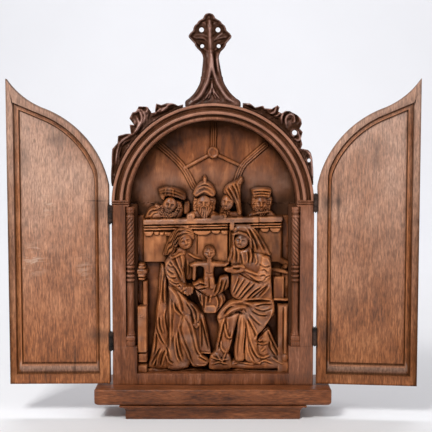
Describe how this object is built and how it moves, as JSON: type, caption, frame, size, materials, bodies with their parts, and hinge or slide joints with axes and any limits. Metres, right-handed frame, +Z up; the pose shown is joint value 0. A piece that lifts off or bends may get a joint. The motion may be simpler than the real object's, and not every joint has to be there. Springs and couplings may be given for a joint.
{
  "type": "triptych altarpiece",
  "caption": "Small carved oak altarpiece: a figure relief under a moulded round arch with a leafy gable, two hinged wings and a stepped plinth.",
  "frame": {"origin": "on the ground, under the middle of the plinth slab", "axes": "+X to the viewer's right, +Y to the back, +Z up; the relief faces -Y"},
  "size_m": [0.6042, 0.096, 0.595],
  "materials": {
    "oak_plinth": "waxed oak, worn",
    "oak_frame": "waxed oak",
    "oak_relief": "dark waxed oak, polished on the high places",
    "oak_crest": "darkened oak",
    "oak_wing": "dry waxed oak",
    "hinge_iron": "blackened, rough"
  },
  "bodies": {
    "case": {"foot": "oak_plinth", "slab": "oak_plinth", "arch_frame": "oak_frame", "left_column": "oak_frame", "right_column": "oak_frame", "relief_panel": "oak_relief", "ogee_crest": "oak_crest", "finial": "oak_crest", "left_crockets": "oak_crest", "right_crockets": "oak_crest", "left_upper_hinge_frame_leaf": "hinge_iron", "left_upper_hinge_pin": "hinge_iron", "left_lower_hinge_frame_leaf": "hinge_iron", "left_lower_hinge_pin": "hinge_iron", "right_upper_hinge_frame_leaf": "hinge_iron", "right_upper_hinge_pin": "hinge_iron", "right_lower_hinge_frame_leaf": "hinge_iron", "right_lower_hinge_pin": "hinge_iron"},
    "left_wing": {"left_wing": "oak_wing", "left_upper_hinge_wing_leaf": "hinge_iron", "left_lower_hinge_wing_leaf": "hinge_iron"},
    "right_wing": {"right_wing": "oak_wing", "right_upper_hinge_wing_leaf": "hinge_iron", "right_lower_hinge_wing_leaf": "hinge_iron"}
  },
  "joints": [
    {"name": "left_wing_hinge", "type": "hinge", "parent": "case", "child": "left_wing", "pos_m": [-0.151, -0.02075, 0.2], "axis": [0, 0, 1], "range_deg": [-1, 179]},
    {"name": "right_wing_hinge", "type": "hinge", "parent": "case", "child": "right_wing", "pos_m": [0.151, -0.02075, 0.2], "axis": [0, 0, -1], "range_deg": [-6.4, 173.6]}
  ]
}
